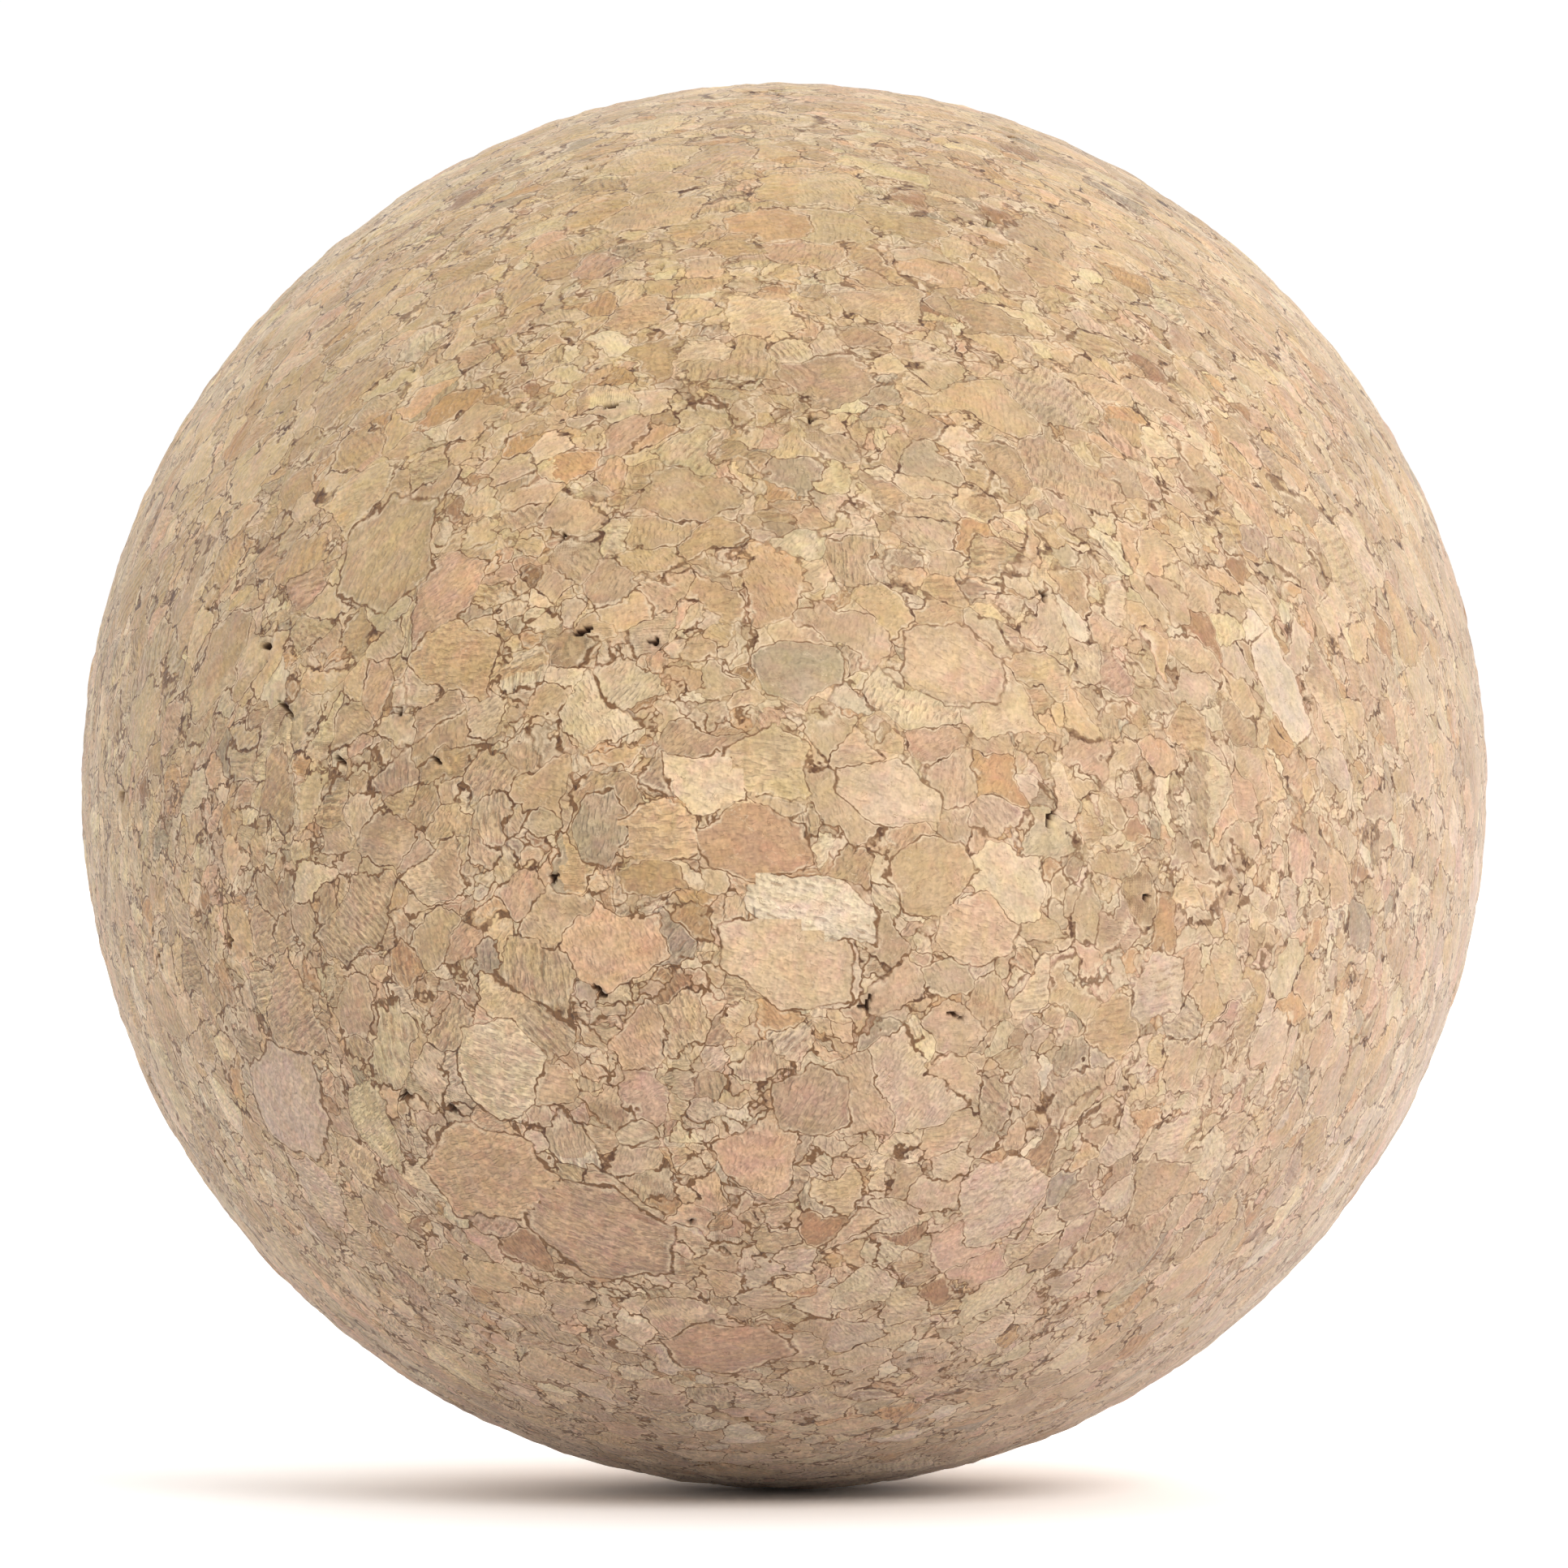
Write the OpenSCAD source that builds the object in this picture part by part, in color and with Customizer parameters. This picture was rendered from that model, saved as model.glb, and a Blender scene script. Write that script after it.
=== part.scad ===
// Cork massage ball: one solid ball turned from a block of bonded cork granules.
// Millimetres, +Z up, origin at the centre of the ball.
// The skin is a true sphere, opened by small voids: a three-armed one where three
// granules meet, and a narrow crevice where two granules part.

/* [Ball] */
// Diameter of the ball
ball_d = 65; // [50:1:90]

/* [Junction voids] */
// Number of voids spread evenly over the skin
void_count = 84; // [12:6:120]
// Reach of the longest arm from the middle of its void
arm_reach = 0.55; // [0.4:0.05:0.9]
// Width across the middle of the widest void, between its arms
void_w = 0.26; // [0.2:0.02:0.4]
// Depth of the deepest void
void_depth = 0.6; // [0.3:0.1:1.2]
// Smallest void, as a share of the largest
smallest_share = 0.5; // [0.3:0.05:1]
// How far a void strays from its even place, as a share of the distance between voids
stray = 0.3; // [0:0.05:0.35]
// Which of the possible scatters the voids take
scatter_seed = 7; // [1:1:40]

/* [Open crevices] */
// Length of the longest crevice
crevice_length = 1.3; // [0.9:0.1:1.8]
// Width across the middle of the widest crevice
crevice_w = 0.34; // [0.24:0.02:0.44]
// Depth of the deepest crevice
crevice_depth = 0.7; // [0.3:0.1:1.2]

/* [Hidden] */
$fn = 160;

ball_r = ball_d / 2;
golden_angle = 180 * (3 - sqrt(5));
even_spacing = ball_r * sqrt(4 * PI / void_count);
stray_angle = stray * even_spacing / ball_r * 180 / PI;
arm_count = 3;             // one arm runs out along each seam between the granules
arm_sway = 22;             // most that an arm turns from its even third
shortest_arm = 0.5;        // shortest arm, as a share of the void's longest
cutter_rise = 0.5;         // how far a cutter stands out of the skin

// Chance values from 0 to 1, one set of seven for each junction void
CHANCE_PER_VOID = 7;
chance = rands(0, 1, CHANCE_PER_VOID * void_count, scatter_seed);

// The widest crevices on the front, which faces -Y. Each is
// [longitude from the front, latitude, lie, share of the longest, share of the widest]
CREVICES = [
    [-16,  12,  23, 0.80, 1.00],
    [-46,  11, 171, 0.60, 1.00],
    [-43,   6, 145, 1.00, 0.80],
    [-37,   2, 143, 0.60, 0.70],
    [-28,   2, 139, 0.50, 0.65],
    [-63, -14, 101, 0.80, 0.75],
    [-15, -16, 130, 0.75, 0.95],
    [-16,  31,   6, 0.60, 0.80],
    [-22, -45,  28, 0.60, 0.85],
    [ -8, -47,  21, 0.70, 0.75],
    [ -6, -39, 140, 0.60, 0.70],
    [ -6, -61,   4, 0.55, 0.65],
    [ 17, -52,  17, 0.60, 0.70],
    [-30, -26, 120, 0.50, 0.85],
    [ 14, -18, 158, 0.65, 0.65],
];

// Outline of one side of a crevice: [place along its length, half width there], as shares
CREVICE_EDGE = [[-0.5, 0], [-0.2, 0.9], [0.15, 0.55], [0.3, 0.8], [0.5, 0]];

function polar(radius, angle) = [radius * cos(angle), radius * sin(angle)];

// Corners of a void between granules: the tip of each arm, then the notch after it
function void_outline(reach, width, luck, turn) = [
    for (k = [0 : arm_count - 1])
        let (
            tip_angle = turn + 360 * k / arm_count + arm_sway * (2 * luck[k] - 1),
            notch_angle = turn + 360 * (k + 0.5) / arm_count
        )
        for (corner = [
            polar(reach * (shortest_arm + (1 - shortest_arm) * luck[k]), tip_angle),
            polar(width / 2, notch_angle)
        ]) corner
];

// Corners of a crevice: along one edge, then back along the other, which is its mirror end for end
function crevice_outline(length, width) = [
    for (p = CREVICE_EDGE) [length * p[0], width / 2 * p[1]],
    for (i = [1 : len(CREVICE_EDGE) - 2])
        [-length * CREVICE_EDGE[i][0], -width / 2 * CREVICE_EDGE[i][1]],
];

// Sinks its children's outline into the skin. Seen from outside, the outline's x runs to
// the right along the skin and its y up.
module sunk(longitude, latitude, lie, depth) {
    rotate([90 - latitude, 0, longitude])
        translate([0, 0, ball_r - depth])
            rotate([0, 0, lie])
                linear_extrude(height = depth + cutter_rise)
                    children();
}

// The voids spread over the whole skin, each a little off an even spiral
module junction_voids() {
    for (i = [0 : void_count - 1]) {
        luck = [for (k = [0 : CHANCE_PER_VOID - 1]) chance[CHANCE_PER_VOID * i + k]];
        size = smallest_share + (1 - smallest_share) * luck[3];
        height = 1 - (2 * i + 1) / void_count;
        sunk(
            golden_angle * i + stray_angle * (2 * luck[5] - 1),
            asin(height) + stray_angle * (luck[6] - 0.5),
            0,
            void_depth * size
        )
            polygon(void_outline(arm_reach * size, void_w * size, luck, 360 * luck[4]));
    }
}

// The crevices listed one by one
module open_crevices() {
    for (c = CREVICES)
        sunk(c[0], c[1], c[2], crevice_depth * c[4])
            polygon(crevice_outline(crevice_length * c[3], crevice_w * c[4]));
}

// The ball: a sphere with its voids and crevices opened
module cork_ball() {
    color([0.80, 0.68, 0.55])
        difference() {
            sphere(d = ball_d);
            junction_voids();
            open_crevices();
        }
}

cork_ball();
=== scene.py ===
"""The looks of a cork massage ball: one ball of bonded cork granules, seen close up.

The skin is one closed mesh. A geometry node tree raises and sinks its granules and opens the
voids that the frame's solid ball has. Those voids do not follow the granules, so some of them
open in the middle of one. The cork material works out the same granules from the same
node-building functions, so colour and relief lie on one another. Granule sizes are in
millimetres; everything in the scene is in metres.
"""

import math

import bmesh
import bpy
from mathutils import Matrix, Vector
from mathutils.kdtree import KDTree


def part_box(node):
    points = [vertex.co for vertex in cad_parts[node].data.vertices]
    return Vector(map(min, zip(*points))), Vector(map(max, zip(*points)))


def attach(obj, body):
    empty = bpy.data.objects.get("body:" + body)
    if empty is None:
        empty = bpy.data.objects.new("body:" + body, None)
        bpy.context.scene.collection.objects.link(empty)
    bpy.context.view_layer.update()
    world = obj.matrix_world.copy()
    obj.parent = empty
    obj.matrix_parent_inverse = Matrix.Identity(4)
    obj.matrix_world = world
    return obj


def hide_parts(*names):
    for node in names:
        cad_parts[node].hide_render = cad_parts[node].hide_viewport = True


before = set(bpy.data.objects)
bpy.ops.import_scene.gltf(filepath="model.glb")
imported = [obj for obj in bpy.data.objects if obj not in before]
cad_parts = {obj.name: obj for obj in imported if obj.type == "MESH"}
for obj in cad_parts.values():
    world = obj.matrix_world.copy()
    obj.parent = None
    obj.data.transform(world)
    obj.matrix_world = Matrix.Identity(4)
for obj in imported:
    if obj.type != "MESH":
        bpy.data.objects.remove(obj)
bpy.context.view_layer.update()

MM = 0.001

# ---------------------------------------------------------------- sizes

solid_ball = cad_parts["cork_ball"]
BALL_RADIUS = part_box("cork_ball")[1][2]
BALL_RADIUS_MM = BALL_RADIUS / MM

SKIN_SQUARES = 101          # squares along each edge of the cube that the skin is puffed from
VOID_NEIGHBOURHOOD = 1.0 * MM  # how near a void the skin's squares are halved
VOID_REFINEMENTS = 2        # times that they are halved there
SKIN_SAG = 0.05 * MM        # the solid's flat facets lie up to this far inside the true sphere
LOOK_IN_RADIUS = BALL_RADIUS * 1.05  # from here the skin looks inwards for the solid's surface
BAKE_GUTTER = 0.004         # margin of each square of the bake map, as a share of its side

# The block was pressed along this direction, so its granules are flattest across it
PRESS_DIRECTION = Vector((-0.10, -0.93, -0.35)).normalized()
FLATTENING = 1.7

# The colour turns yellower towards this side of the ball and pinker towards the other
YELLOWER_SIDE = Vector((-0.40, -0.15, 0.90)).normalized()

# and its skin is rougher towards this one, where the colour also gets stronger painted relief
# shade: darker grain, wrinkle shade and seams
ROUGHER_SIDE = Vector((-0.65, -0.40, -0.65)).normalized()

LARGE_GRANULE = 3.4         # millimetres across
MEDIUM_GRANULE = 2.0
CRUMB = 1.05
LARGE_SHARE = 0.22          # share of the large cells that are one whole granule
MEDIUM_SHARE = 0.64         # share of the medium cells, in between, that are one granule
MEDIUM_SHIFT = 31.7         # moves the medium cells off the large ones' pattern
CRUMB_SHIFT = 67.3          # and the crumbs off both
NO_SEAM = 10.0              # millimetres, farther than any seam lies
RAGGEDNESS = 3.0            # millimetres that a granule's outline wanders
CHOSEN_RAGGEDNESS = 0.7     # share of that for the granules listed below
CHOSEN_DEPTH_SHARE = 0.3    # how much depth in the block counts towards their edge
CHOSEN_HALF_WIDTH = 1.3     # millimetres, of a middling one of them
PILLOW_WIDTH = 0.55         # millimetres from a seam to where a granule's top is level
RIDGE_TURN = math.tau / 0.34  # a ridge every 0.34 millimetres, as an angle
SHALLOWEST_WRINKLES = 0.4   # depth of the wrinkles on the smoothest granule
WRINKLE_SPREAD = 0.8        # what the most wrinkled granule has above that

# What is added to a granule's key for more chance numbers of its own
WRINKLE_KEY = (5.1, 2.2, 7.3)
COLOUR_KEY = (3.7, 1.3, 9.1)

# The angles at which the sides of a chosen granule lie, before it is stretched along its length
CHOSEN_SIDES = (8, 62, 118, 190, 240, 305)

# Granules picked out on the front, which faces -Y. Each has the longitude and latitude of its
# middle, its lean, length and width in millimetres, how deep its ridges are, and its colour.
CHOSEN_GRANULES = [
    (2.3, -9.4, -17, 5.8, 2.9, 0.85, (236, 211, 176)),    # pale, with deep ridges
    (0.2, -13.5, 166, 5.8, 3.7, 0.4, (221, 188, 149)),    # tan, under the pale one
    (-5.9, 0.4, -16, 4.0, 2.6, 0.4, (229, 199, 161)),     # cream
    (-1.4, 1.5, 172, 3.7, 2.8, 0.6, (222, 190, 150)),
    (8.3, -0.6, -14, 4.7, 2.2, 0.4, (224, 192, 154)),
    (-2.3, -4.5, 4, 4.2, 3.0, 0.4, (203, 161, 122)),      # orange brown
    (-9.4, -3.7, 180, 3.9, 2.9, 0.7, (214, 177, 140)),
    (-10.1, -7.2, -4, 3.0, 1.5, 0.4, (192, 156, 112)),
    (-14.3, -3.1, 80, 3.1, 2.1, 0.6, (194, 168, 137)),    # grey
    (11.8, -6.8, 200, 3.7, 3.1, 0.4, (206, 172, 131)),
    (15.6, -11.2, -15, 3.9, 2.5, 0.6, (222, 186, 150)),
    (2.4, -25.3, 60, 3.4, 3.2, 0.5, (200, 166, 133)),     # brown pink
    (1.2, 8.8, 5, 3.3, 2.5, 0.4, (194, 170, 137)),        # grey olive
    (13.4, 9.2, 160, 4.8, 3.2, 0.5, (215, 181, 146)),     # pink
    (43.2, 7.8, -65, 5.0, 2.1, 0.3, (226, 200, 168)),     # pale and narrow
    (-18.7, -37.4, -25, 7.2, 4.8, 0.75, (206, 168, 131)),  # large, brown pink, deep ridges
    (-28.5, -31.8, 195, 6.0, 4.8, 0.5, (208, 170, 134)),
    (-24.5, -22.5, -20, 3.8, 4.2, 0.7, (221, 193, 157)),  # cream, with deep ridges
    (-49.0, -25.4, 60, 5.6, 4.6, 0.4, (210, 179, 152)),   # large and pink
    (-7.2, -50.4, 10, 5.2, 3.6, 0.4, (195, 155, 122)),    # brown
    (-34.6, 18.7, 70, 5.2, 4.6, 0.5, (212, 180, 142)),    # large and tan
    (-2.0, 50.3, 180, 3.8, 2.1, 0.4, (210, 168, 124)),    # orange
]

# ---------------------------------------------------------------- light and camera sizes

FLOOR_HALF_SIDE = 4.0
FLOOR_WHITE = (0.96, 0.96, 0.96, 1.0)       # as light and shadow meet it
FLOOR_SEEN_WHITE = (1.35, 1.35, 1.35, 1.0)  # as the camera sees it
BRIGHT_SIDE = Vector((0.16, 0.95, 0.06)).normalized()
ROOM_STRENGTH = 0.92        # of the room's light, half-way between its bright and dim sides
ROOM_UNEVENNESS = 0.78      # what the bright side has above that, and the dim side below it
ROOM_SEEN_STRENGTH = 1.02   # as the camera sees it

CAMERA_DISTANCE = 0.5
CAMERA_NEAREST = 0.01
SENSOR_WIDTH = 36.0         # millimetres
IMAGE_SIDE = 1932
BALL_CENTRE_PX = (966.4, 968.2)  # where the ball lies in the picture, and how large
BALL_RADIUS_PX = 867.6

# ---------------------------------------------------------------- node building


class Field:
    """A number, vector or colour that varies over the ball, and the node tree that works it out.

    Arithmetic between fields, or a field and a plain value, adds the node that does it.
    """

    def __init__(self, tree, socket):
        self.tree = tree
        self.socket = socket

    def is_vector(self):
        return self.socket.type in {"VECTOR", "RGBA"}

    def combine(self, operation, first, second):
        vectors = any(
            isinstance(v, (tuple, Vector)) or (isinstance(v, Field) and v.is_vector())
            for v in (first, second)
        )
        kind = "ShaderNodeVectorMath" if vectors else "ShaderNodeMath"
        if vectors:
            first, second = (
                (v, v, v) if isinstance(v, (int, float)) else v for v in (first, second)
            )
        return Field(self.tree, add_node(self.tree, kind, {0: first, 1: second},
                                         operation=operation).outputs[0])

    def __add__(self, other):
        return self.combine("ADD", self, other)

    def __sub__(self, other):
        return self.combine("SUBTRACT", self, other)

    def __mul__(self, other):
        return self.combine("MULTIPLY", self, other)

    def __truediv__(self, other):
        return self.combine("DIVIDE", self, other)

    def __radd__(self, other):
        return self.combine("ADD", other, self)

    def __rsub__(self, other):
        return self.combine("SUBTRACT", other, self)

    def __rmul__(self, other):
        return self.combine("MULTIPLY", other, self)


def feed(tree, socket, value):
    """Links a field to a socket, or sets a plain value on it."""
    if isinstance(value, Field):
        tree.links.new(value.socket, socket)
    else:
        socket.default_value = value


def add_node(tree, kind, inputs=None, **settings):
    """Adds a node, gives it its settings, then feeds its inputs by name or place."""
    node = tree.nodes.new(kind)
    for name, value in settings.items():
        setattr(node, name, value)
    for key, value in (inputs or {}).items():
        feed(tree, node.inputs[key], value)
    return node


def work_out(tree, kind, inputs, output=0, **settings):
    """The output of a new node, as a field."""
    return Field(tree, add_node(tree, kind, inputs, **settings).outputs[output])


def maths(operation, *values):
    """One Math node. At least the first value is a field."""
    tree = values[0].tree
    return work_out(tree, "ShaderNodeMath", dict(enumerate(values)), operation=operation)


def smallest(a, b):
    return maths("MINIMUM", a, b)


def largest(a, b):
    return maths("MAXIMUM", a, b)


def below(a, limit):
    """1 where a is less than limit, otherwise 0."""
    return maths("LESS_THAN", a, limit)


def ramp_up(field, start, end, low=0.0, high=1.0):
    """Rises smoothly from low, at start and before it, to high, at end and past it."""
    return work_out(
        field.tree, "ShaderNodeMapRange",
        {"Value": field, "From Min": start, "From Max": end, "To Min": low, "To Max": high},
        interpolation_type="SMOOTHSTEP",
    )


def blend_numbers(factor, a, b):
    return work_out(factor.tree, "ShaderNodeMix", {0: factor, 2: a, 3: b}, 0, data_type="FLOAT")


def blend_vectors(factor, a, b):
    return work_out(factor.tree, "ShaderNodeMix", {0: factor, 4: a, 5: b}, 1, data_type="VECTOR")


def blend_colours(factor, a, b, blend_type="MIX"):
    return work_out(
        factor.tree, "ShaderNodeMix", {0: factor, 6: a, 7: b}, 2,
        data_type="RGBA", blend_type=blend_type,
    )


def split(vector):
    """The three parts of a vector or colour."""
    node = add_node(vector.tree, "ShaderNodeSeparateXYZ", {0: vector})
    return [Field(vector.tree, out) for out in node.outputs]


def joined(tree, x, y, z):
    """The vector that has these three parts."""
    return work_out(tree, "ShaderNodeCombineXYZ", {0: x, 1: y, 2: z})


def dot(a, b):
    return work_out(a.tree, "ShaderNodeVectorMath", {0: a, 1: b}, 1, operation="DOT_PRODUCT")


def cross(a, b):
    return work_out(a.tree, "ShaderNodeVectorMath", {0: a, 1: b}, operation="CROSS_PRODUCT")


def scaled(vector, factor):
    """A vector made longer by a factor that varies."""
    return work_out(vector.tree, "ShaderNodeVectorMath", {0: vector, 3: factor},
                    operation="SCALE")


def unit(vector):
    return work_out(vector.tree, "ShaderNodeVectorMath", {0: vector}, operation="NORMALIZE")


def noise(point, scale, detail=2.0, roughness=0.5, output=0):
    """Cloudy noise. Output 0 is a number about 0.5, and output 1 three of them."""
    return work_out(
        point.tree, "ShaderNodeTexNoise",
        {"Vector": point, "Scale": scale, "Detail": detail, "Roughness": roughness},
        output, noise_dimensions="3D",
    )


def chance(key):
    """Three chance numbers from 0 to 1 that belong to a granule."""
    return split(work_out(key.tree, "ShaderNodeTexWhiteNoise", {"Vector": key}, 1,
                          noise_dimensions="3D"))


# ---------------------------------------------------------------- granules


def cells(point, size, shift):
    """Cork cells about size across: each one's key and chance, its neighbour's, and the
    distance in millimetres to the seam between them."""
    place = point + (shift, shift, shift)
    sides = []
    for feature in ("F1", "F2"):
        sides.append(add_node(
            point.tree, "ShaderNodeTexVoronoi",
            {"Vector": place, "Scale": 1 / size, "Randomness": 1.0},
            feature=feature, voronoi_dimensions="3D",
        ))
    own, next_one = sides
    tree = point.tree
    gap = Field(tree, next_one.outputs["Distance"]) - Field(tree, own.outputs["Distance"])
    middle = Field(tree, own.outputs["Position"])
    return {
        "key": middle + (shift, 0.0, 0.0),
        "inside": place - middle,
        "luck": split(Field(tree, own.outputs["Color"]))[0],
        "next_luck": split(Field(tree, next_one.outputs["Color"]))[0],
        "seam": gap * (size / 2),
    }


def granule_point(position):
    """The point in the block of cork, in millimetres, that lies under a place on the ball."""
    on_sphere = unit(position) * BALL_RADIUS_MM
    pressed = on_sphere + work_out(
        position.tree, "ShaderNodeVectorMath",
        {0: tuple(PRESS_DIRECTION), 3: dot(on_sphere, tuple(PRESS_DIRECTION)) * (FLATTENING - 1)},
        operation="SCALE",
    )
    return on_sphere, pressed


def chosen_axes(longitude, latitude, lean, length, width):
    """The directions along, across and out of a chosen granule. The first two are as long as
    makes its half length and half width 1."""
    lon, lat, lean = (math.radians(angle) for angle in (longitude, latitude, lean))
    outwards = Vector((
        math.sin(lon) * math.cos(lat), -math.cos(lon) * math.cos(lat), math.sin(lat)
    ))
    east = Vector((math.cos(lon), math.sin(lon), 0.0))
    along = east * math.cos(lean) + outwards.cross(east) * math.sin(lean)
    across = outwards.cross(along)
    return tuple(along * (2 / length)), tuple(across * (2 / width)), tuple(outwards)


def reach_in_chosen(near, along, across, outwards):
    """0 at the middle of a chosen granule and 1 at its edge."""
    depth = (dot(near, outwards) - BALL_RADIUS_MM) * CHOSEN_DEPTH_SHARE
    place = joined(near.tree, dot(near, along), dot(near, across), 0.0)
    reach = maths("ABSOLUTE", depth)
    for side in CHOSEN_SIDES:
        angle = math.radians(side)
        reach = largest(reach, dot(place, (math.cos(angle), math.sin(angle), 0.0)))
    return reach


def find_chosen(near):
    """The chosen granule nearest to a place: its axes, its colour and its ridges' way."""
    nearest = None
    for longitude, latitude, lean, length, width, ridges, colour in CHOSEN_GRANULES:
        along, across, outwards = chosen_axes(longitude, latitude, lean, length, width)
        reach = reach_in_chosen(near, along, across, outwards)
        ridge_way = tuple(Vector(across).normalized() * ridges)
        values = (along, across, srgb(*colour)[:3], ridge_way)
        if nearest is None:
            nearest, fields = reach, values
            continue
        closer = below(reach, nearest)
        nearest = smallest(reach, nearest)
        fields = [blend_vectors(closer, a, b) for a, b in zip(fields, values)]
    return dict(zip(("along", "across", "colour", "ridge_way"), fields))


def stored(tree, name, output="Vector"):
    """A value that the skin's mesh stores, as a field."""
    return Field(tree, add_node(tree, "ShaderNodeAttribute", attribute_name=name).outputs[output])


def stored_chosen(near):
    """The nearest chosen granule as the skin's mesh stores it for each face."""
    return {name: stored(near.tree, "chosen_" + name) for name in ("along", "across", "colour")}


def granules(position, chosen_at):
    """Everything about the granule at a place: its key, how far off its seam is, its size class
    and, where it is a chosen one, what is listed for it."""
    on_sphere, pressed = granule_point(position)
    wander = noise(pressed, 0.33, detail=4.0, roughness=0.6, output=1) - (0.5, 0.5, 0.5)
    ragged = pressed + wander * (RAGGEDNESS, RAGGEDNESS, RAGGEDNESS)

    large = cells(ragged, LARGE_GRANULE, 0.0)
    medium = cells(ragged, MEDIUM_GRANULE, MEDIUM_SHIFT)
    crumb = cells(ragged, CRUMB, CRUMB_SHIFT)

    is_large = below(large["luck"], LARGE_SHARE)
    large_next = below(large["next_luck"], LARGE_SHARE)
    is_medium = below(medium["luck"], MEDIUM_SHARE)
    medium_next = below(medium["next_luck"], MEDIUM_SHARE)

    # A seam shows where the granule on either side of it is whole
    among_crumbs = smallest(crumb["seam"], medium["seam"] + (1 - medium_next) * NO_SEAM)
    inner_seam = blend_numbers(is_medium, among_crumbs, medium["seam"])
    outside = smallest(inner_seam, large["seam"] + (1 - large_next) * NO_SEAM)
    seam = blend_numbers(is_large, outside, large["seam"])

    key = blend_vectors(is_medium, crumb["key"], medium["key"])
    key = blend_vectors(is_large, key, large["key"])
    inside = blend_vectors(is_medium, crumb["inside"], medium["inside"])
    inside = blend_vectors(is_large, inside, large["inside"])

    # A chosen granule lies over the others
    near = on_sphere + (ragged - pressed) * CHOSEN_RAGGEDNESS
    chosen = chosen_at(near)
    outwards = unit(cross(chosen["along"], chosen["across"]))
    reach = reach_in_chosen(near, chosen["along"], chosen["across"], outwards)
    is_chosen = below(reach, 1.0)
    rim = maths("ABSOLUTE", reach - 1.0) * CHOSEN_HALF_WIDTH
    seam = blend_numbers(is_chosen, smallest(seam, rim), rim)
    key = blend_vectors(is_chosen, key, chosen["along"])

    # Where the seams of two sizes of granule cross, the colour has the painted shade of a small
    # pit
    crossing = largest(large["seam"], medium["seam"]) + is_chosen * NO_SEAM
    small_crossing = largest(medium["seam"], crumb["seam"]) + is_chosen * NO_SEAM
    return {
        "chosen": chosen,
        "is_chosen": is_chosen,
        "on_sphere": on_sphere,
        "ragged": ragged,
        "key": key,
        "inside": inside,
        "seam": seam,
        "is_crumb": (1 - is_medium) * (1 - is_large) * (1 - is_chosen),
        "is_large": is_large,
        "crossing": crossing,
        "small_crossing": small_crossing,
    }


# ---------------------------------------------------------------- the skin's mesh


def blank_ball():
    """A closed ball of even squares, halved again round each void of the solid ball."""
    blank = bmesh.new()
    bmesh.ops.create_cube(blank, size=2.0)
    bmesh.ops.subdivide_edges(blank, edges=blank.edges, cuts=SKIN_SQUARES - 1, use_grid_fill=True)
    for vertex in blank.verts:
        even = Vector([math.tan(c * math.pi / 4) for c in vertex.co])
        vertex.co = even.normalized() * BALL_RADIUS

    sunk = [v.co for v in solid_ball.data.vertices if v.co.length < BALL_RADIUS - 4 * SKIN_SAG]
    void_corners = KDTree(len(sunk))
    for i, corner in enumerate(sunk):
        void_corners.insert(corner.normalized() * BALL_RADIUS, i)
    void_corners.balance()

    for _ in range(VOID_REFINEMENTS):
        near = {
            edge
            for face in blank.faces
            if void_corners.find(face.calc_center_median())[2] < VOID_NEIGHBOURHOOD
            for edge in face.edges
        }
        bmesh.ops.subdivide_edges(blank, edges=list(near), cuts=1, use_grid_fill=True)
        for vertex in blank.verts:
            vertex.co = vertex.co.normalized() * BALL_RADIUS
    mesh = bpy.data.meshes.new("cork_skin_blank")
    blank.to_mesh(mesh)
    blank.free()
    return mesh


def add_bake_map(mesh):
    """Lays the ball out as six squares, three by two, for a texture to be baked on."""
    layer = mesh.uv_layers.new(name="OFBake")
    for face in mesh.polygons:
        middle = face.center
        axis = max(range(3), key=lambda i: abs(middle[i]))
        side = 1 if middle[axis] > 0 else 0
        across, up = (axis + 1) % 3, (axis + 2) % 3
        for loop in face.loop_indices:
            place = mesh.vertices[mesh.loops[loop].vertex_index].co
            even = [math.atan2(place[i], abs(place[axis])) * 4 / math.pi for i in (across, up)]
            if side == 0:
                even[0] = -even[0]
            u, v = ((e + 1) / 2 * (1 - 2 * BAKE_GUTTER) + BAKE_GUTTER for e in even)
            layer.uv[loop].vector = ((axis + u) / 3, (side + v) / 2)


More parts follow.
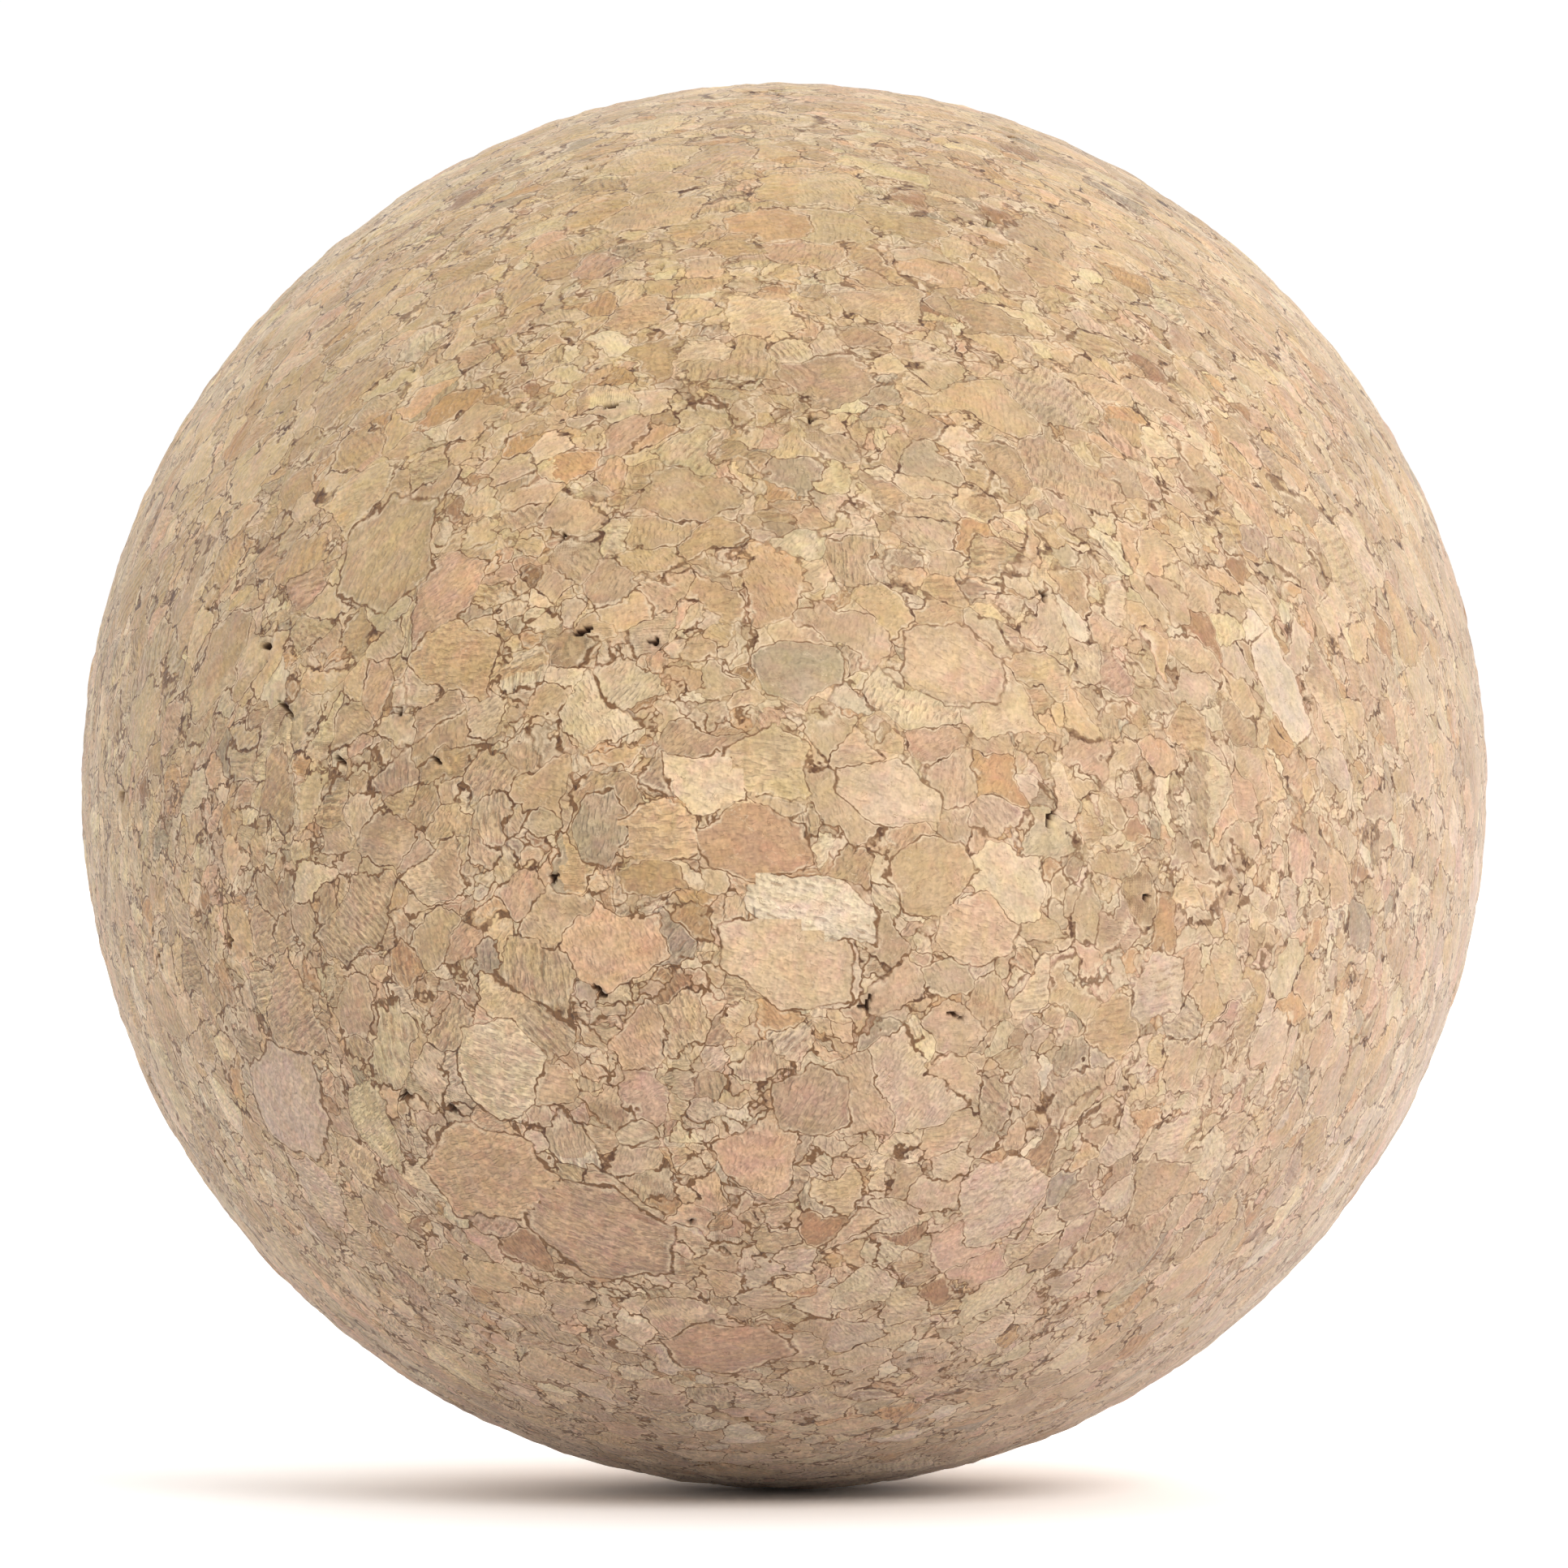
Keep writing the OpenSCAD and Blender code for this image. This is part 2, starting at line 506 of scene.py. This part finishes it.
def skin_tree():
    """The geometry nodes that turn the blank ball into the granular skin."""
    tree = bpy.data.node_groups.new("granular skin", "GeometryNodeTree")
    face = tree.interface
    face.new_socket("Geometry", in_out="INPUT", socket_type="NodeSocketGeometry")
    face.new_socket("Solid Ball", in_out="INPUT", socket_type="NodeSocketObject")
    for name, default in (
        ("Ball Radius", BALL_RADIUS),
        ("Pillow Height", 0.09 * MM),
        ("Granule Step", 0.08 * MM),
        ("Swell", 0.05 * MM),
    ):
        socket = face.new_socket(name, in_out="INPUT", socket_type="NodeSocketFloat")
        socket.default_value = default
    face.new_socket("Finish", in_out="INPUT", socket_type="NodeSocketMaterial")
    face.new_socket("Geometry", in_out="OUTPUT", socket_type="NodeSocketGeometry")

    given = {s.name: Field(tree, s) for s in tree.nodes.new("NodeGroupInput").outputs}
    position = work_out(tree, "GeometryNodeInputPosition", {})
    outwards = unit(position)

    solid = work_out(tree, "GeometryNodeObjectInfo", {"Object": given["Solid Ball"]}, "Geometry")
    look_in = add_node(
        tree, "GeometryNodeRaycast",
        {"Target Geometry": solid, "Source Position": outwards * LOOK_IN_RADIUS,
         "Ray Direction": outwards * -1.0, "Ray Length": BALL_RADIUS},
    )
    hit_radius = LOOK_IN_RADIUS - Field(tree, look_in.outputs["Hit Distance"])
    depth = given["Ball Radius"] - hit_radius
    void_depth = depth * ramp_up(depth, SKIN_SAG, 2 * SKIN_SAG)

    granule = granules(position, find_chosen)
    luck = chance(granule["key"])
    pillow = ramp_up(granule["seam"], 0.0, PILLOW_WIDTH, -1.0, 0.0) * given["Pillow Height"]
    step = (luck[1] - 1.0) * given["Granule Step"]
    swell = (noise(granule["on_sphere"], 0.12, detail=3.0) - 0.5) * given["Swell"]
    relief = pillow + step + swell - void_depth

    # Each granule's wrinkles lie across a chance way along the skin, or a chosen one's own
    way = joined(tree, *(number - 0.5 for number in luck))
    along_skin = unit(way - scaled(outwards, dot(way, outwards)))
    strength = chance(granule["key"] + WRINKLE_KEY)[0]
    wrinkle_way = scaled(along_skin, SHALLOWEST_WRINKLES + strength * strength * WRINKLE_SPREAD)
    wrinkle_way = blend_vectors(granule["is_chosen"], wrinkle_way, granule["chosen"]["ridge_way"])

    shaped = work_out(
        tree, "GeometryNodeSetPosition",
        {"Geometry": given["Geometry"], "Position": outwards * (relief + given["Ball Radius"])},
    )
    for name, kind, domain, value in (
        ("void_depth", "FLOAT", "POINT", void_depth / MM),
        ("wrinkle_way", "FLOAT_VECTOR", "FACE", wrinkle_way),
        ("chosen_along", "FLOAT_VECTOR", "FACE", granule["chosen"]["along"]),
        ("chosen_across", "FLOAT_VECTOR", "FACE", granule["chosen"]["across"]),
        ("chosen_colour", "FLOAT_VECTOR", "FACE", granule["chosen"]["colour"]),
    ):
        store = add_node(tree, "GeometryNodeStoreNamedAttribute", {"Name": name},
                         data_type=kind, domain=domain)
        feed(tree, store.inputs["Geometry"], shaped)
        feed(tree, store.inputs["Value"], value)
        shaped = Field(tree, store.outputs[0])
    smooth = work_out(tree, "GeometryNodeSetShadeSmooth", {"Geometry": shaped})
    real = work_out(tree, "GeometryNodeRealizeInstances", {"Geometry": smooth})
    finished = work_out(tree, "GeometryNodeSetMaterial",
                        {"Geometry": real, "Material": given["Finish"]})
    output = tree.nodes.new("NodeGroupOutput")
    feed(tree, output.inputs["Geometry"], finished)
    return tree


def set_input(modifier, name, value):
    """Sets a geometry nodes input by its socket's identifier."""
    for item in modifier.node_group.interface.items_tree:
        if item.in_out == "INPUT" and item.name == name:
            modifier[item.identifier] = value


def make_skin(finish):
    """The ball's one visible piece, as a plain mesh."""
    blank = bpy.data.objects.new("cork_skin_blank", blank_ball())
    add_bake_map(blank.data)
    bpy.context.scene.collection.objects.link(blank)
    relief = blank.modifiers.new("granular skin", "NODES")
    relief.node_group = skin_tree()
    set_input(relief, "Solid Ball", solid_ball)
    set_input(relief, "Finish", finish)
    evaluated = blank.evaluated_get(bpy.context.evaluated_depsgraph_get())
    mesh = bpy.data.meshes.new_from_object(evaluated)
    bpy.data.objects.remove(blank)
    mesh.name = "cork_skin"
    mesh.materials.clear()
    mesh.materials.append(finish)
    skin = bpy.data.objects.new("cork_skin", mesh)
    bpy.context.scene.collection.objects.link(skin)
    return skin


# ---------------------------------------------------------------- the cork's finish


def srgb(red, green, blue):
    """A linear colour from its 0 to 255 values as seen on a screen."""
    linear = [
        c / 12.92 if c <= 0.04045 else ((c + 0.055) / 1.055) ** 2.4
        for c in (red / 255, green / 255, blue / 255)
    ]
    return (*linear, 1.0)


# Granule colours with the share of granules that have each
GRANULE_COLOURS = [
    (0.14, srgb(207, 174, 137)),   # plain tan
    (0.12, srgb(214, 183, 146)),   # light tan
    (0.11, srgb(217, 186, 152)),   # pale pink tan
    (0.12, srgb(212, 178, 139)),   # yellow tan
    (0.10, srgb(205, 169, 129)),   # warm tan
    (0.09, srgb(198, 164, 128)),   # olive tan
    (0.07, srgb(222, 194, 155)),   # cream
    (0.08, srgb(213, 173, 139)),   # pink
    (0.05, srgb(199, 166, 133)),   # grey pink
    (0.05, srgb(201, 158, 115)),   # orange brown
    (0.03, srgb(228, 203, 168)),   # pale cream
    (0.02, srgb(187, 161, 131)),   # grey olive
    (0.02, srgb(176, 134, 98)),    # brown
]
RARE_SHARE = 0.14              # the last share of the list, which no large granule has

# What is laid over the granules' own colours: marks, and painted shade and highlights
# Painted highlight on the edge beside a seam
RIM_HIGHLIGHT_COLOUR = srgb(240, 214, 178)     # pale edge beside a seam
FLAKE_COLOUR = srgb(238, 213, 178)
# Painted shade in the wrinkles' creases, and the colour of cracks
CREASE_SHADE_AND_CRACK_COLOUR = srgb(146, 108, 72)   # cracks too
# A dark joint between granules, deepened by painted shade of its groove
SEAM_AND_GROOVE_SHADE_COLOUR = srgb(130, 92, 57)
# Painted shade in pits, and in the voids on top of their real shadow
PIT_SHADE_COLOUR = srgb(96, 60, 34)
VOID_SHADE_COLOUR = srgb(96, 66, 44)
FLAKE_OPACITY = 0.45
CRACK_OPACITY = 0.6

# Height of the fine relief, in millimetres
GRAIN_HEIGHT = 0.15
WRINKLE_HEIGHT = 0.11


def granule_palette(pick):
    """The colour of a granule from a chance number."""
    node = add_node(pick.tree, "ShaderNodeValToRGB", {0: pick})
    ramp = node.color_ramp
    ramp.interpolation = "CONSTANT"
    start = 0.0
    for i, (share, colour) in enumerate(GRANULE_COLOURS):
        stop = ramp.elements[0] if i == 0 else ramp.elements.new(start)
        stop.position = start
        stop.color = colour
        start += share
    while len(ramp.elements) > len(GRANULE_COLOURS):
        ramp.elements.remove(ramp.elements[-1])
    return Field(pick.tree, node.outputs[0])


def thin_line(field, level, half_width):
    """A line along which a cloudy field crosses a level, 1 on it and 0 off it."""
    away = maths("ABSOLUTE", field - level)
    return 1.0 - ramp_up(away, half_width * 0.3, half_width)


def wrinkles(on_sphere, wander):
    """Fine wrinkles, from -0.5 in a crease to 0.5 on a ridge, that lie across each granule's
    own way. The longer its way, the deeper they are and the more they run side by side."""
    wrinkle_way = stored(on_sphere.tree, "wrinkle_way")
    way = unit(wrinkle_way)
    strength = dot(wrinkle_way, way)
    along = dot(on_sphere, way)
    squeezed = on_sphere + scaled(way, along * (strength * 1.4 + 0.8))
    rumpled = ramp_up(noise(squeezed, 1.9, detail=1.0, roughness=0.6), 0.36, 0.62, -0.5, 0.5)
    side_by_side = maths("SINE", along * RIDGE_TURN + wander * 14.0) * 0.5
    return blend_numbers(ramp_up(strength, 0.6, 0.9, 0.0, 0.6), rumpled, side_by_side) * strength


def cork_material():
    material = bpy.data.materials.new("bonded cork")
    material.use_nodes = True
    tree = material.node_tree
    tree.nodes.clear()
    place = Field(tree, add_node(tree, "ShaderNodeTexCoord").outputs["Object"])
    granule = granules(place, stored_chosen)
    luck = chance(granule["key"])
    more_luck = chance(granule["key"] + COLOUR_KEY)
    on_sphere = granule["on_sphere"]
    ragged = granule["ragged"]

    colour = granule_palette(luck[0] * (1.0 - granule["is_large"] * RARE_SHARE))
    colour = blend_colours(granule["is_chosen"], colour, granule["chosen"]["colour"])
    mottle = noise(ragged, 0.9, detail=3.0, roughness=0.65)
    blush, gold, cloud = split(noise(ragged, 0.8, detail=2.0, roughness=0.6, output=1))
    patch = noise(on_sphere, 0.17, detail=2.0, roughness=0.6)
    toward_yellower_side = dot(on_sphere, tuple(YELLOWER_SIDE)) / BALL_RADIUS_MM
    # Deeper wrinkles towards ROUGHER_SIDE, and there also stronger painted relief shade in the
    # colour
    rough_and_shaded = ramp_up(dot(on_sphere, tuple(ROUGHER_SIDE)) / BALL_RADIUS_MM, 0.2, 0.95, 0.85, 1.7)
    grain = noise(on_sphere, 5.0, detail=1.0, roughness=0.5) - 0.5
    wrinkle = wrinkles(on_sphere, patch + mottle * 0.8)
    # Painted shade across each granule, as if it were tilted, in a chance direction
    tilt_shade = dot(granule["inside"], joined(tree, *(number - 0.5 for number in more_luck)))
    # Painted shade near a granule's edge, where its pillowed top curves down
    edge = 1.0 - ramp_up(granule["seam"], 0.0, 0.45)

    # How light: by granule, by mottle and grain, by painted shade from one end of a granule to
    # the other as if it were tilted, by painted shade along its edge, darker on most granules and
    # lighter on a few, and by patches of the ball
    lightness = (0.93 + luck[1] * 0.10) * (0.76 + mottle * 0.48) * (1.0 + grain * rough_and_shaded * 0.52)
    lightness = lightness * (1.0 + tilt_shade * 0.07)
    lightness = lightness * (1.0 + edge * (luck[2] - 0.65) * 0.3) * (0.75 + patch * 0.50)
    blush = largest(blush, 0.44)
    ridge = wrinkle * rough_and_shaded
    # Painted relief shade: the wrinkles' ridges are lighter and their creases darker, most on the
    # rough side
    tint = joined(
        tree,
        0.905 + blush * 0.20 + toward_yellower_side * 0.02 + ridge * 0.24,
        1.10 - blush * 0.20 + ridge * 0.30,
        0.70 + gold * 0.47 + more_luck[0] * 0.12 - toward_yellower_side * 0.16 + ridge * 0.29,
    )
    colour = scaled(colour * tint, lightness)

    # Seams, which are dark joints with painted shade of their grooves, the painted highlights
    # beside them, painted shade in creases, cracks and flakes
    line_noise = noise(on_sphere, 1.1, detail=3.0, roughness=0.65)
    line_width = ramp_up(line_noise, 0.35, 0.74, 0.019, 0.075) * (1.0 - granule["is_crumb"] * 0.3)
    # The seam line: a dark joint, and painted shade of the groove along it
    seam_and_groove_shade = 1.0 - ramp_up(granule["seam"], line_width * 0.3, line_width)
    seam_and_groove_shade = smallest(seam_and_groove_shade * ramp_up(line_noise, 0.36, 0.58, 0.40, 1.0) * rough_and_shaded, 1.0)
    # Painted highlight on a granule's edge beside its seam
    rim = ramp_up(granule["seam"], 0.03, 0.06) - ramp_up(granule["seam"], 0.06, 0.16)
    # Painted shade in the deepest creases of the wrinkles
    crease = ramp_up(wrinkle, -0.25, -0.40) * ramp_up(cloud, 0.4, 0.6, 0.1, 0.5)
    crack = thin_line(mottle, 0.52, 0.008) * ramp_up(line_noise, 0.45, 0.6)
    flake = thin_line(mottle, 0.47, 0.010) * ramp_up(line_noise, 0.55, 0.4)
    colour = blend_colours(rim * ramp_up(gold, 0.45, 0.6, 0.15, 0.75), colour, RIM_HIGHLIGHT_COLOUR)
    colour = blend_colours(flake * FLAKE_OPACITY, colour, FLAKE_COLOUR)
    colour = blend_colours(largest(crack * CRACK_OPACITY, crease), colour, CREASE_SHADE_AND_CRACK_COLOUR)
    colour = blend_colours(seam_and_groove_shade, colour, SEAM_AND_GROOVE_SHADE_COLOUR)

    # Painted shade of pits, which are colour alone, and of the voids, which are open and whose
    # walls are darkened with depth on top of their real shadow
    hole = (1.0 - ramp_up(granule["crossing"], 0.03, 0.10)) * ramp_up(line_noise, 0.55, 0.62)
    small_hole = 1.0 - ramp_up(granule["small_crossing"], 0.02, 0.055)
    small_hole = small_hole * ramp_up(line_noise, 0.52, 0.6)
    pit_shade = largest(hole, small_hole * (1.0 - granule["is_large"]))
    colour = blend_colours(pit_shade, colour, PIT_SHADE_COLOUR)
    void_depth = stored(tree, "void_depth", "Fac")
    # Painted shade: the voids' walls are darker the deeper they lie
    colour = blend_colours(ramp_up(void_depth, 0.02, 0.4), colour, VOID_SHADE_COLOUR)

    height = noise(on_sphere, 4.0, detail=1.0, roughness=0.6) * GRAIN_HEIGHT
    height = height + ridge * WRINKLE_HEIGHT
    bump = work_out(tree, "ShaderNodeBump",
                    {"Strength": 1.0, "Distance": 1.0 * MM, "Height": height}, "Normal")

    skin = add_node(tree, "ShaderNodeBsdfPrincipled", {
        "Base Color": colour, "Normal": bump,
        "Roughness": 0.85, "Specular IOR Level": 0.15,
        "Sheen Weight": 0.2, "Sheen Roughness": 0.5,
        "Coat Weight": 0.6, "Coat Roughness": 0.6, "Coat IOR": 1.5,
    })
    output = tree.nodes.new("ShaderNodeOutputMaterial")
    tree.links.new(skin.outputs[0], output.inputs["Surface"])
    return material


# ---------------------------------------------------------------- floor, light and camera


def seen_by(tree, *rays):
    """1 for rays of any of these kinds, otherwise 0."""
    light_path = add_node(tree, "ShaderNodeLightPath")
    first, *others = (Field(tree, light_path.outputs[ray]) for ray in rays)
    for other in others:
        first = largest(first, other)
    return first


def make_floor():
    """A wide white floor under the ball. It is pure white to the camera and a softer white to
    everything else, and it keeps the ball's shadow."""
    mesh = bpy.data.meshes.new("studio_floor")
    half = FLOOR_HALF_SIDE
    mesh.from_pydata([(x, y, -BALL_RADIUS) for x, y in
                      ((-half, -half), (half, -half), (half, half), (-half, half))],
                     [], [(0, 1, 2, 3)])
    floor = bpy.data.objects.new("studio_floor", mesh)
    bpy.context.scene.collection.objects.link(floor)
    material = bpy.data.materials.new("studio white")
    material.use_nodes = True
    tree = material.node_tree
    tree.nodes.clear()
    seen = seen_by(tree, "Is Camera Ray", "Is Glossy Ray")
    white = blend_colours(seen, FLOOR_WHITE, FLOOR_SEEN_WHITE)
    matt = add_node(tree, "ShaderNodeBsdfDiffuse", {"Color": white})
    output = tree.nodes.new("ShaderNodeOutputMaterial")
    tree.links.new(matt.outputs[0], output.inputs["Surface"])
    mesh.materials.append(material)


def make_world():
    """A white room, softly brighter on one side. It is pure white to the camera."""
    world = bpy.data.worlds.new("white room")
    world.use_nodes = True
    tree = world.node_tree
    tree.nodes.clear()
    seen = seen_by(tree, "Is Camera Ray", "Is Transmission Ray", "Is Glossy Ray")
    look = Field(tree, add_node(tree, "ShaderNodeTexCoord").outputs["Generated"])
    soft = ROOM_STRENGTH + dot(look, tuple(BRIGHT_SIDE)) * ROOM_UNEVENNESS
    strength = blend_numbers(seen, soft, ROOM_SEEN_STRENGTH)
    back = add_node(tree, "ShaderNodeBackground",
                    {"Color": (1.0, 1.0, 1.0, 1.0), "Strength": strength})
    output = tree.nodes.new("ShaderNodeOutputWorld")
    tree.links.new(back.outputs[0], output.inputs["Surface"])
    bpy.context.scene.world = world


def soft_lamp(name, direction, distance, side, power):
    """A square area lamp that faces the ball from a direction."""
    lamp = bpy.data.lights.new(name, "AREA")
    lamp.shape = "SQUARE"
    lamp.size = side
    lamp.energy = power
    holder = bpy.data.objects.new(name, lamp)
    place = Vector(direction).normalized() * distance
    holder.location = place
    holder.rotation_euler = place.to_track_quat("Z", "Y").to_euler()
    bpy.context.scene.collection.objects.link(holder)


def make_camera():
    """A level camera in front of the ball. Its lens and shift set the ball's place in the
    picture."""
    camera = bpy.data.cameras.new("camera")
    camera.sensor_width = SENSOR_WIDTH
    edge_slope = BALL_RADIUS / math.sqrt(CAMERA_DISTANCE ** 2 - BALL_RADIUS ** 2)
    half_frame_slope = edge_slope * (IMAGE_SIDE / 2) / BALL_RADIUS_PX
    camera.lens = camera.sensor_width / 2 / half_frame_slope
    camera.shift_x = (IMAGE_SIDE / 2 - BALL_CENTRE_PX[0]) / IMAGE_SIDE
    camera.shift_y = (BALL_CENTRE_PX[1] - IMAGE_SIDE / 2) / IMAGE_SIDE
    camera.clip_start = CAMERA_NEAREST
    holder = bpy.data.objects.new("camera", camera)
    holder.location = (0.0, -CAMERA_DISTANCE, 0.0)
    holder.rotation_euler = (math.pi / 2, 0.0, 0.0)
    bpy.context.scene.collection.objects.link(holder)
    bpy.context.scene.camera = holder


# ---------------------------------------------------------------- the whole scene

skin = make_skin(cork_material())
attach(skin, "root")
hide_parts("cork_ball")

make_floor()
make_world()
soft_lamp("key", direction=(0.40, -0.74, 0.53), distance=0.6, side=0.25, power=1.48)
make_camera()
bpy.context.scene.view_settings.view_transform = "Standard"
